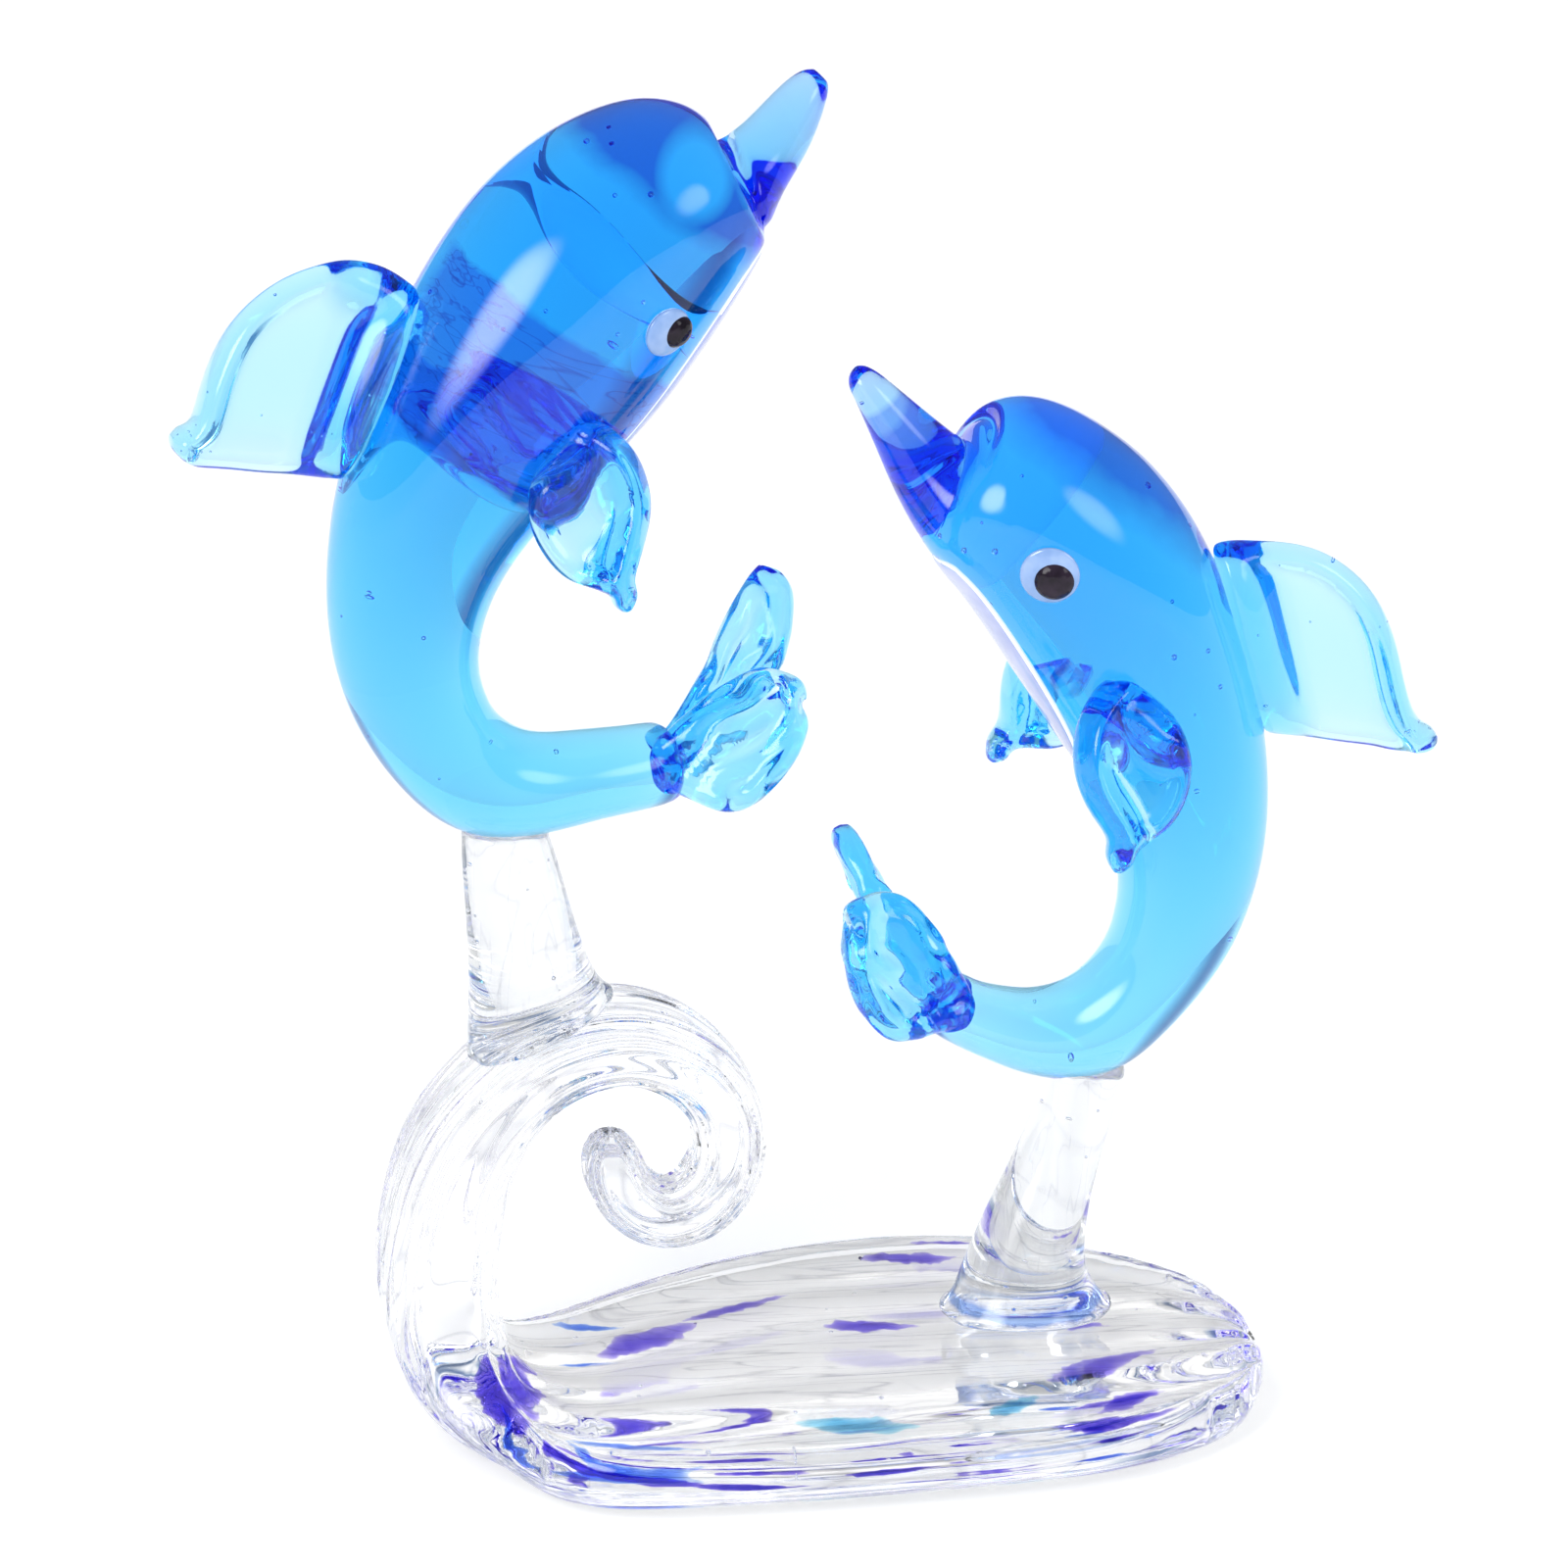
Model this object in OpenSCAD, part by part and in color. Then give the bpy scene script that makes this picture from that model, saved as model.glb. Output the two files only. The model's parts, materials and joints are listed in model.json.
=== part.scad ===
// Hot-worked glass figurine: two blue dolphins on a clear base that curls up like a wave.
// Millimetres, +Z up. The origin is on the base's flat underside, halfway along the slab, in the plane that
// the posts stand in. The wave's curl is at -X, each dolphin's belly faces the middle, and "front" is the
// -Y side.

/* [Base] */
// Length of the slab, from its curl to its free end
slab_l = 62; // [54:0.5:75]
// Width of the slab across its middle
slab_w = 40; // [33:0.5:48]
// Thickness of the slab
slab_h = 6; // [5:0.1:7.2]
// Height of the top of the wave's curl
curl_h = 31; // [25.5:0.1:37.5]
// Width of the strap where it rises from the slab
strap_w = 13; // [10.5:0.1:15.8]
// Number of combed ribs across the base
rib_count = 5; // [3:1:7]
// Depth of the grooves between the ribs
rib_depth = 0.7; // [0.4:0.05:0.9]

/* [Posts] */
// Height of the upper dolphin's seat above the top of the curl
upper_rise = 12.6; // [10:0.1:16]
// Height of the lower dolphin's seat above the slab
lower_rise = 17.2; // [14:0.1:22]
// Diameter of both posts where they meet the dolphins
post_d = 6; // [4.8:0.1:7.2]
// Diameter of the lower post's flared foot
foot_d = 13; // [10:0.1:15]

/* [Dolphins] */
// Height of the upper dolphin, from its seat to the tip of its beak
upper_h = 55.5; // [46:0.1:67]
// Largest diameter of the upper dolphin's body
upper_d = 19.3; // [16:0.1:23.4]
// Turn of the upper dolphin about its post
upper_turn = 8; // [-20:1:20]
// Height of the lower dolphin, from its seat to the tip of its beak
lower_h = 53.6; // [44:0.1:65]
// Largest diameter of the lower dolphin's body
lower_d = 18.6; // [15.4:0.1:22.4]
// Turn of the lower dolphin about its post
lower_turn = -4; // [-20:1:20]

/* [Fins] */
// How far the upper dolphin's dorsal fin stands out from the back
upper_dorsal_l = 12.2; // [10:0.1:15]
// How far the lower dolphin's dorsal fin stands out from the back
lower_dorsal_l = 11.3; // [9:0.1:13.6]
// Length of a flipper from root to tip
flipper_l = 13.5; // [11:0.1:16.5]
// Thickness of the fins and flippers
fin_t = 2.4; // [1.9:0.1:3]
// Length of a tail fluke
fluke_l = 12; // [10:0.1:14.5]
// Thickness of a tail fluke
fluke_t = 3; // [2.4:0.1:3.6]

/* [Eyes] */
// Diameter of the upper dolphin's white eye discs
upper_eye_d = 3.7; // [3:0.1:4.6]
// Diameter of the lower dolphin's white eye discs
lower_eye_d = 4.3; // [3.4:0.1:5.2]
// Diameter of the upper dolphin's black pupils
upper_pupil_d = 2.5; // [2:0.1:2.9]
// Diameter of the lower dolphin's black pupils
lower_pupil_d = 3; // [2.4:0.1:3.3]
// Height of an eye disc above the skin
eye_rise = 0.4; // [0.3:0.05:0.6]

/* [Fusing] */
// Depth to which a piece is melted into the piece that carries it
weld = 0.8; // [0.6:0.05:1]

/* [Hidden] */

// ---- Curves and lofts ----

function unit(v) = v / norm(v);

// Value at t, 0 to 1, of the smooth curve from b to c that a and d lie before and after
function between(a, b, c, d, t) =
    b + ((c - a) * t + (2 * a - 5 * b + 4 * c - d) * t * t + (3 * b - a - 3 * c + d) * t * t * t) / 2;

// Row of a table at a place between its rows, such as 3.5 for halfway from row 3 to row 4
function row_at(rows, place) =
    let (last = len(rows) - 1)
    let (i = min(floor(place), last - 1))
    between(rows[max(i - 1, 0)], rows[i], rows[i + 1], rows[min(i + 2, last)], place - i);

// A cosine or sine drawn towards a square by a power under 1
function squared(value, power) = sign(value) * pow(abs(value), power);

// Closed solid through a list of rings, each of the same number of points
module loft(rings) {
    sides = len(rings[0]);
    last = len(rings) - 1;
    walls = [for (i = [0 : last - 1], j = [0 : sides - 1])
        let (k = (j + 1) % sides)
        let (near = i * sides)
        let (far = near + sides)
        each [[near + j, near + k, far + k], [near + j, far + k, far + j]]];
    start = [for (j = [sides - 1 : -1 : 0]) j];
    end = [for (j = [0 : sides - 1]) last * sides + j];
    polyhedron([for (ring = rings, point = ring) point], concat([start], walls, [end]), convexity = 8);
}

// ---- Blades: bodies, fins and streaks ----
// A blade's row holds one edge [x, y, z], the other edge [x, y, z] and the thickness between its faces.

function first_edge(row) = [row[0], row[1], row[2]];
function other_edge(row) = [row[3], row[4], row[5]];
function middle(row) = (first_edge(row) + other_edge(row)) / 2;
function half_chord(row) = (first_edge(row) - other_edge(row)) / 2;

// A flat blade's row, [x, z, x, z, thickness], stood up in the plane y = 0
function upright(row) = [row[0], 0, row[1], row[2], 0, row[3], row[4]];

// Direction along a blade at a place in its table
function along(rows, place) =
    let (after = row_at(rows, min(place + 0.2, len(rows) - 1)))
    let (before = row_at(rows, max(place - 0.2, 0)))
    unit(middle(after) - middle(before));

// Direction square to a blade's faces at a place in its table
function facing(rows, place) = unit(cross(along(rows, place), half_chord(row_at(rows, place))));

// Point on a blade's skin. Angle 0 is the first edge, 90 the face towards -Y, 180 the other edge.
function skin(rows, place, angle, power = 1, sunk = 0) =
    let (row = row_at(rows, place))
    let (half = half_chord(row))
    middle(row)
        + unit(half) * (norm(half) - sunk) * squared(cos(angle), power)
        + facing(rows, place) * (row[6] / 2 - sunk) * squared(sin(angle), power);

// Direction straight out of a blade's skin
function outward(rows, place, angle) =
    let (row = row_at(rows, place))
    let (half = half_chord(row))
    unit(unit(half) * cos(angle) / norm(half) + facing(rows, place) * sin(angle) / (row[6] / 2));

module blade(rows, steps, sides, power = 1) {
    loft([for (i = [0 : (len(rows) - 1) * steps])
        [for (j = [0 : sides - 1]) skin(rows, i / steps, -360 * j / sides, power)]]);
}

// Stands its children on a blade's skin: X points straight out of it and Z runs along the blade.
module on_skin(rows, place, angle, sunk = 0) {
    out = outward(rows, place, angle);
    ahead = along(rows, place);
    up = unit(ahead - out * (out * ahead));
    side = cross(up, out);
    at = skin(rows, place, angle) - out * sunk;
    multmatrix([
        [out.x, side.x, up.x, at.x],
        [out.y, side.y, up.y, at.y],
        [out.z, side.z, up.z, at.z],
        [0, 0, 0, 1]
    ])
        children();
}

// ---- Base ----

// Rows along the slab from its free end: x as a share of half the length, then half the thickness,
// half the width and the sideways shift as shares of those of the slab's middle
slab_rows = [
    [1, 0.1, 0.06, -0.25],
    [0.99, 0.5, 0.2, -0.25],
    [0.95, 0.85, 0.38, -0.22],
    [0.87, 1, 0.57, -0.2],
    [0.74, 1, 0.76, -0.17],
    [0.54, 1, 0.92, -0.13],
    [0.28, 1, 0.99, -0.11],
    [0.02, 1, 0.98, -0.14],
    [-0.22, 1, 0.92, -0.21],
    [-0.43, 1, 0.82, -0.29],
    [-0.62, 1, 0.68, -0.36]
];
// Rows up the strap and round the curl: x from the slab's curled end and z, both as shares of the
// curl's height, then half the thickness, half the width and the shift as shares of the strap's
strap_rows = [
    [0.248, 0.127, 1.15, 1.5, -0.85],
    [0.142, 0.22, 1.45, 1.22, -0.46],
    [0.113, 0.37, 1.43, 1.05, -0.12],
    [0.135, 0.548, 1.4, 0.98, 0],
    [0.18, 0.705, 1.32, 0.93, 0],
    [0.258, 0.835, 1.18, 0.9, 0],
    [0.365, 0.935, 1.07, 0.86, 0],
    [0.49, 0.99, 1.02, 0.82, 0],
    [0.625, 0.995, 1, 0.76, 0],
    [0.752, 0.94, 0.95, 0.7, 0],
    [0.836, 0.845, 0.9, 0.63, 0],
    [0.866, 0.73, 0.87, 0.57, 0],
    [0.846, 0.618, 0.86, 0.51, 0],
    [0.777, 0.537, 0.85, 0.46, 0],
    [0.684, 0.517, 0.82, 0.41, 0],
    [0.602, 0.573, 0.79, 0.37, 0],
    [0.568, 0.655, 0.75, 0.34, 0],
    [0.565, 0.712, 0.52, 0.24, 0],
    [0.566, 0.738, 0.14, 0.06, 0]
];
strap_t = 5.9;
curl_path_h = curl_h - strap_t / 2;
curl_x = -slab_l / 2;

// The base's path in millimetres: x, z, half the thickness, half the width, sideways shift
base_path = concat(
    [for (r = slab_rows)
        [r[0] * slab_l / 2, slab_h / 2, r[1] * slab_h / 2, r[2] * slab_w / 2, r[3] * slab_w / 2]],
    [for (r = strap_rows)
        [curl_x + r[0] * curl_path_h, r[1] * curl_path_h, r[2] * strap_t / 2, r[3] * strap_w / 2,
            r[4] * strap_w / 2]]
);
shoulder_place = len(slab_rows) + 6.5;

// Direction from the path to the side that faces into the curl, which is the slab's top
function inner_side(place) =
    let (after = row_at(base_path, min(place + 0.2, len(base_path) - 1)))
    let (before = row_at(base_path, max(place - 0.2, 0)))
    let (ahead = unit([after[0] - before[0], after[1] - before[1]]))
    [ahead[1], 0, -ahead[0]];

// Share of the thickness left by the combed grooves at a share, -1 to 1, across the base
function ribbed(across, half_t) =
    1 - rib_depth / half_t * pow(abs(sin(90 * rib_count * (across + 1) + 90 * (rib_count + 1))), 4);

base_sides = 40;
base_steps = 2;
// How much deeper the slab's underside is drawn than its top, before it is ground flat
ground_share = 1.33;

// One ring of the base, cut flat where it meets the surface that it stands on
function base_ring(place) =
    let (row = row_at(base_path, place))
    let (inner = inner_side(place))
    [for (j = [0 : base_sides - 1])
        let (angle = 360 * j / base_sides)
        let (across = squared(cos(angle), 0.8))
        let (sole = angle > 180 && place < len(slab_rows))
        let (share = sole ? ground_share : ribbed(across, max(row[2], 2 * rib_depth)))
        let (point = [row[0], row[4] + row[3] * across, row[1]]
            + inner * row[2] * squared(sin(angle), 0.62) * share)
        [point.x, point.y, max(point.z, 0)]];

module wave_base() {
    color([0.95, 0.97, 0.98, 0.6])
        loft([for (i = [0 : (len(base_path) - 1) * base_steps]) base_ring(i / base_steps)]);
}

// ---- Posts ----

shoulder = row_at(base_path, shoulder_place);
shoulder_foot = [shoulder[0], shoulder[1]] - [inner_side(shoulder_place).x, inner_side(shoulder_place).z]
    * shoulder[2];
upper_seat = [curl_x + 0.305 * curl_path_h, 0, curl_h + upper_rise];
lower_seat = [0.613 * slab_l / 2, 0, slab_h + lower_rise];
lower_foot = [0.49 * slab_l / 2, slab_h];

// Rows of a post, from its foot up: share of the way to the seat, drift off the straight line, width as
// a share of the way from the top's to the foot's, and tilt of the ring
scroll_post_rows = [
    [0, 0.2, 1, 24],
    [0.14, 0, 0.66, 14],
    [0.34, 0, 0.42, 5],
    [0.6, 0, 0.26, 0],
    [0.82, 0, 0.14, 0],
    [1, 0, 0, 0]
];
base_post_rows = [
    [0, 0, 1, 0],
    [0.07, -0.4, 0.68, 0],
    [0.19, -1, 0.42, 0],
    [0.4, -1, 0.22, 0],
    [0.62, -0.5, 0.06, 0],
    [0.82, -0.1, 0, 0],
    [1, 0, 0, 0]
];
scroll_foot_d = 11.8;

module post(rows, foot, seat, foot_width) {
    top = [seat.x, seat.z];
    rise = unit(top - foot);
    start = foot - rise * weld;
    finish = top + rise * weld;
    blade([for (r = rows)
        let (at = start + (finish - start) * r[0] + [r[1], 0])
        let (width = post_d + (foot_width - post_d) * r[2])
        let (half = [cos(r[3]), sin(r[3])] * width / 2)
        upright([at.x - half.x, at.y - half.y, at.x + half.x, at.y + half.y, width * (1 - 0.15 * r[2])])],
        3, 24);
}

module scroll_post() {
    color([0.95, 0.97, 0.98, 0.6])
        post(scroll_post_rows, shoulder_foot, upper_seat, scroll_foot_d);
}

module base_post() {
    color([0.95, 0.97, 0.98, 0.6])
        post(base_post_rows, lower_foot, lower_seat, foot_d);
}

// ---- Colour enclosed in the base ----
// A streak's row: x and y of its two ends as shares of half the slab's length and width, its width,
// and its height as a share of the slab's thickness

violet_rows = [
    [-0.54, -0.17, -0.28, 0.05, 3, 0.62],
    [-0.31, 0.06, -0.05, 0.27, 1.8, 0.64],
    [0, -0.02, 0.23, -0.07, 2.2, 0.6],
    [0.14, 0.56, 0.38, 0.53, 1.6, 0.6],
    [0.3, 0.75, 0.47, 0.7, 1, 0.5],
    [0.53, -0.15, 0.66, -0.18, 1.3, 0.6],
    [0.47, -0.61, 0.75, -0.39, 2.8, 0.57],
    [0.56, -0.82, 0.72, -0.63, 2.4, 0.4],
    [-0.79, -0.12, -0.71, -0.66, 3.4, 0.5]
];
blue_rows = [
    [-0.62, 0.12, -0.45, 0.08, 1, 0.63],
    [-0.66, -0.76, -0.36, -0.9, 1, 0.3],
    [0.5, 0.28, 0.61, 0.26, 1.6, 0.6]
];
turquoise_rows = [
    [-0.13, -0.76, 0.14, -0.86, 3.2, 0.47],
    [0.3, -0.82, 0.43, -0.68, 2.2, 0.5]
];
streak_profile = [0.12, 0.62, 0.95, 1, 0.8, 0.5, 0.1];

module streaks(rows, thickness) {
    for (r = rows) {
        a = [r[0] * slab_l / 2, r[1] * slab_w / 2, r[5] * slab_h];
        b = [r[2] * slab_l / 2, r[3] * slab_w / 2, r[5] * slab_h];
        ahead = unit(b - a);
        side = [-ahead.y, ahead.x, 0] * r[4] / 2;
        last = len(streak_profile) - 1;
        blade([for (i = [0 : last])
            let (at = a + (b - a) * i / last)
            concat(at + side * streak_profile[i], at - side * streak_profile[i],
                [thickness * streak_profile[i]])],
            1, 10);
    }
}

module violet_streaks() {
    color([0.45, 0.38, 0.85])
        streaks(violet_rows, 0.6);
}

module blue_streaks() {
    color([0.2, 0.4, 0.9])
        streaks(blue_rows, 0.5);
}

module turquoise_patch() {
    color([0.35, 0.7, 0.85])
        streaks(turquoise_rows, 0.7);
}

// ---- Dolphins ----
// Each dolphin is drawn belly towards +X, with its seat at its own origin. A body's row holds the back's
// and the belly's edges, [x, z, x, z], and the width, in hundredths of the dolphin's height, from the
// tail to the beak. outline_d is the largest diameter of such a body in the same hundredths.

upper_outline = [
    [23.4, 4.4, 22.6, 10.8, 6],
    [21.9, 2.7, 20.5, 13, 10.5],
    [17.6, 2, 16.5, 12.9, 13],
    [11.8, 1.4, 10.7, 12.9, 14.5],
    [5.4, 0.3, 5.2, 13.1, 15],
    [-1.6, 0.1, 1.5, 14.6, 15.6],
    [-8, 2.4, -1.2, 17.2, 16.2],
    [-13.7, 7.8, -2.6, 20.3, 16.8],
    [-18.6, 15.4, -3.3, 23.6, 17.6],
    [-21.6, 23.8, -3.1, 27.5, 19.2],
    [-22.6, 32.4, -1.8, 32.1, 21.4],
    [-22.2, 40.3, 0.9, 37.1, 23.8],
    [-20.9, 48, 4.9, 42, 26.6],
    [-18.1, 57, 10, 47, 29.6],
    [-14, 66.4, 15.7, 52.2, 32.6],
    [-9, 75.2, 21.2, 58.4, 34.6],
    [-2.9, 83.5, 26.2, 65, 34.6],
    [4.6, 89.7, 29.6, 70, 33.6],
    [12.1, 93.4, 31.1, 72.4, 31.4],
    [18.8, 94.8, 32, 73.8, 28.4],
    [24.2, 93.8, 32.6, 74.8, 25],
    [27.2, 91.6, 33, 75.6, 22],
    [28.8, 88.9, 33.4, 76.6, 19.4],
    [29, 88.5, 33.6, 77.1, 18.8],
    [30.1, 89.2, 34.3, 78.6, 16.4],
    [31.9, 90.6, 36.3, 82.2, 12.6],
    [34.8, 93.5, 39.4, 86.7, 9.8],
    [37.3, 95.8, 41.4, 91.1, 7.6],
    [39.4, 97, 42.4, 94.4, 5.2],
    [40.8, 97.1, 42.3, 95.6, 2]
];
lower_outline = [
    [22, 8.6, 19.8, 13.8, 5.4],
    [20.6, 6.9, 17.4, 15.2, 9.5],
    [17, 4.7, 14.1, 13.5, 11],
    [12.5, 2.5, 10.7, 12.6, 12.2],
    [7.3, 0.4, 6.8, 12.2, 13.2],
    [0.8, -0.4, 2.7, 13.2, 14.4],
    [-5.6, 1.5, -0.4, 15.6, 15.6],
    [-10.7, 5.9, -2.7, 19, 16.4],
    [-15.8, 11.8, -3.8, 22.7, 17.2],
    [-20, 18.5, -4.2, 27, 18.6],
    [-22.7, 26, -3.7, 31.4, 20.2],
    [-24.1, 33.5, -2.3, 36.2, 22.2],
    [-24.3, 41.4, 0, 41.4, 24.6],
    [-23.4, 50.4, 3.1, 47.1, 27.2],
    [-20.9, 60.8, 6.9, 53.3, 29.8],
    [-17.2, 71.2, 10.7, 59.5, 32.2],
    [-12.8, 79.6, 14.3, 65.2, 33.4],
    [-7.2, 86.4, 17.2, 69.4, 33],
    [-0.9, 91.2, 19.1, 71.7, 31.6],
    [4.3, 93.8, 20, 72.9, 29.6],
    [8.8, 94.6, 20.7, 73.7, 27],
    [12.7, 93.7, 21.2, 74.2, 24],
    [15, 91.7, 21.7, 75, 21],
    [16.3, 89.4, 22.3, 76, 18.6],
    [16.5, 89.1, 22.5, 76.4, 18.1],
    [17.7, 90, 23.6, 78.2, 16],
    [20.3, 92.2, 25.9, 82.8, 12],
    [24.2, 95.6, 28.4, 89, 8.6],
    [27.4, 98.4, 30.6, 94.4, 6],
    [29.4, 99.6, 31.7, 96.9, 4.2],
    [30.6, 99.6, 31.6, 98.4, 1.8]
];
outline_d = 34.8;
// Row of both outlines whose back edge rests on the post
seat_row = 5;

// The body's table in millimetres for a height and a largest diameter, with its seat where it was drawn
function body_rows(outline, height, diameter) =
    let (share = height / 100)
    let (fat = diameter / share / outline_d)
    let (seat = outline[seat_row])
    let (shift = [seat[0] - seat[2], seat[1] - seat[3]] / 2 * (1 - fat))
    [for (r = outline)
        let (middle = [r[0] + r[2], r[1] + r[3]] / 2 + shift)
        let (half = [r[0] - r[2], r[1] - r[3]] / 2 * fat)
        upright(concat(middle + half, middle - half, [r[4] * fat]) * share)];

upper_body = body_rows(upper_outline, upper_h, upper_d);
lower_body = body_rows(lower_outline, lower_h, lower_d);

module place_upper() {
    translate(upper_seat)
        rotate([0, 0, upper_turn])
            children();
}

module place_lower() {
    translate(lower_seat)
        rotate([0, 0, lower_turn])
            mirror([1, 0, 0])
                children();
}

// Draws its child on the front side (1) or, mirrored, on the rear side (-1)
module on_side(side) {
    if (side > 0) {
        children();
    } else {
        mirror([0, 1, 0])
            children();
    }
}

module body(rows) {
    color([0.3, 0.72, 0.98])
        blade(rows, 2, 20);
}

stripe_span = 33;
stripe_rise = 0.25;
stripe_rings = 18;
stripe_points = 6;

// Opal strip along the belly from one place in the body's table to another
module belly_stripe(rows, first, last) {
    color([0.86, 0.88, 0.95])
        loft([for (i = [0 : stripe_rings])
            let (share = 2 * i / stripe_rings - 1)
            let (fade = sqrt(max(1 - pow(abs(share), 5), 0.01)))
            let (place = first + (last - first) * i / stripe_rings)
            [for (face = [0, 1], j = [-stripe_points : stripe_points])
                let (turn = (face == 0 ? -1 : 1) * j / stripe_points)
                let (rise = stripe_rise * fade * (1 - pow(turn, 4)))
                skin(rows, place, 180 + stripe_span * fade * turn,
                    sunk = face == 0 ? -rise : weld * fade)]]);
}

// Rows of a dorsal fin in hundredths of its length: its leading and trailing edges, [out, along, out,
// along], and its thickness as a share of fin_t
upper_dorsal_rows = [
    [-7, 60, -7, -58, 1.5],
    [16, 67, 9, -62, 1.25],
    [39, 65, 27, -66, 1.02],
    [59, 54, 43, -70, 1],
    [77, 37, 59, -73, 1],
    [91, 10, 73, -76, 1],
    [94, -22, 80, -77, 0.95],
    [91, -50, 86, -76, 0.9],
    [97, -57, 91, -74, 0.85],
    [100, -64, 98, -70, 0.55]
];
lower_dorsal_rows = [
    [-7, 70, -7, -63, 1.5],
    [27, 61, 11, -70, 1.15],
    [50, 51, 29, -79, 1],
    [66, 38, 44, -86, 1],
    [79, 20, 58, -92, 1],
    [87, -1, 67, -97, 1],
    [90, -26, 74, -100, 0.98],
    [89, -48, 80, -102, 0.95],
    [89, -69, 84, -104, 0.9],
    [92, -83, 89, -104, 0.85],
    [98, -90, 96, -102, 0.7],
    [100, -96, 99, -99, 0.4]
];

module dorsal_fin(rows, length, body, place) {
    color([0.72, 0.93, 0.99])
        on_skin(body, place, 0)
            blade([for (r = rows)
                upright([
                    r[0] < 0 ? -weld : r[0] * length / 100, r[1] * length / 100,
                    r[2] < 0 ? -weld : r[2] * length / 100, r[3] * length / 100,
                    r[4] * fin_t
                ])], 2, 14, 0.75);
}

// Rows of a flipper in hundredths of its length: its belly-side and back-side edges, [x, y, z, x, y, z],
// and its thickness as a share of fin_t
flipper_rows = [
    [17, 8, 20, -22, 8, -8, 1.3],
    [32, -6, 3, -30, -6, -22, 1.2],
    [35, -14, -20, -28, -14, -39, 1.05],
    [29, -19, -38, -20, -19, -53, 1],
    [20, -23, -51, -9, -23, -60, 0.95],
    [14, -24, -60, -1, -24, -66, 0.9],
    [14, -24, -69, 0, -24, -72, 0.85],
    [9, -24, -77, 4, -24, -77, 0.4]
];

// A flipper swings towards the belly about its root and spreads away from the body
module flipper(body, place, angle, swing, spread) {
    color([0.62, 0.88, 0.98])
        translate(skin(body, place, angle))
            rotate([spread, -swing, 0])
                blade([for (r = flipper_rows)
                    concat([for (i = [0 : 5]) r[i] * flipper_l / 100], [r[6] * fin_t])], 2, 14, 0.8);
}

// Rows of the flukes in hundredths of their length, [x, y, z, x, y, z], with the thickness as a share of
// fluke_t. The front one is a broad paddle that faces the front, the rear ones point up and back.
front_fluke_rows = [
    [-13, -5, 12, -13, -10, -11, 1.1],
    [3, -8, 29, 2, -22, -15, 1.05],
    [24, -12, 47, 21, -37, -23, 1],
    [42, -14, 57, 38, -43, -18, 1],
    [53, -16, 60, 49, -43, -10, 1],
    [65, -18, 57, 61, -41, 2, 1],
    [74, -20, 50, 71, -35, 16, 0.85],
    [80, -24, 41, 79, -28, 32, 0.45]
];
upper_rear_fluke_rows = [
    [-16, -3, 8, -6, 1, -12, 1.05],
    [2, 2, 20, 18, 4, -6, 1],
    [22, 13, 46, 58, 15, 26, 0.95],
    [36, 24, 66, 76, 25, 46, 0.9],
    [48, 32, 83, 84, 33, 66, 0.85],
    [59, 38, 96, 86, 39, 85, 0.75],
    [67, 41, 102, 79, 41, 97, 0.4]
];
lower_rear_fluke_rows = [
    [-17, -8, -2, -5, 8, -11, 1.05],
    [0, -6, 8, 10, 20, -4, 1],
    [18, 0, 34, 24, 38, 26, 0.95],
    [33, 12, 56, 38, 60, 50, 0.85],
    [42, 22, 72, 47, 70, 68, 0.8],
    [48, 32, 84, 53, 70, 82, 0.75],
    [51, 42, 92, 54, 60, 91, 0.4]
];

// A fluke of the tail, swung up about the tail's end and twisted about the vertical
module fluke(body, rows, swing, twist) {
    color([0.55, 0.85, 0.98])
        translate(middle(row_at(body, 0.8)))
            rotate([0, -swing, twist])
                blade([for (r = rows)
                    concat([for (i = [0 : 5]) r[i] * fluke_l / 100], [r[6] * fluke_t])], 2, 14, 0.75);
}

// A round lens on the skin: rise above it and depth below it
module lens(diameter, rise, depth) {
    rotate([0, 90, 0])
        rotate_extrude($fn = 24)
            polygon([for (angle = [-90 : 22.5 : 90])
                [cos(angle) * diameter / 2, sin(angle) * (angle > 0 ? rise : depth)]]);
}

module eye(body, place, angle, diameter) {
    color([0.85, 0.88, 0.96])
        on_skin(body, place, angle)
            lens(diameter, eye_rise, weld);
}

pupil_rise = 0.45;

// The pupil sits on the eye disc, off its middle by shift towards the belly and lift along the body
module pupil(body, place, angle, diameter, shift, lift) {
    color([0.08, 0.06, 0.08])
        on_skin(body, place, angle)
            translate([0, shift, lift])
                lens(diameter, eye_rise + pupil_rise, weld / 2);
}

// Places in the bodies' tables and angles round them at which the eyes and flippers sit
upper_eye = [15.9, 115];
lower_eye = [16.9, 101];
upper_flipper = [13.6, 116];
lower_front_flipper = [13.9, 100];
lower_rear_flipper = [13.9, 111];

module upper_eye_disc(side) {
    place_upper()
        on_side(side)
            eye(upper_body, upper_eye[0], upper_eye[1], upper_eye_d);
}

module upper_pupil(side) {
    place_upper()
        on_side(side)
            pupil(upper_body, upper_eye[0], upper_eye[1], upper_pupil_d, 0.6, 0.4);
}

module upper_flipper_blade(side) {
    place_upper()
        on_side(side)
            flipper(upper_body, upper_flipper[0], upper_flipper[1], 12, 0);
}

module upper_fluke(rows, swing, twist) {
    place_upper()
        fluke(upper_body, rows, swing, twist);
}

module lower_eye_disc(side) {
    place_lower()
        on_side(side)
            eye(lower_body, lower_eye[0], lower_eye[1], lower_eye_d);
}

module lower_pupil(side) {
    place_lower()
        on_side(side)
            pupil(lower_body, lower_eye[0], lower_eye[1], lower_pupil_d, 0, -0.45);
}

module lower_flipper_blade(side, place, swing, spread) {
    place_lower()
        on_side(side)
            flipper(lower_body, place[0], place[1], swing, spread);
}

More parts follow.
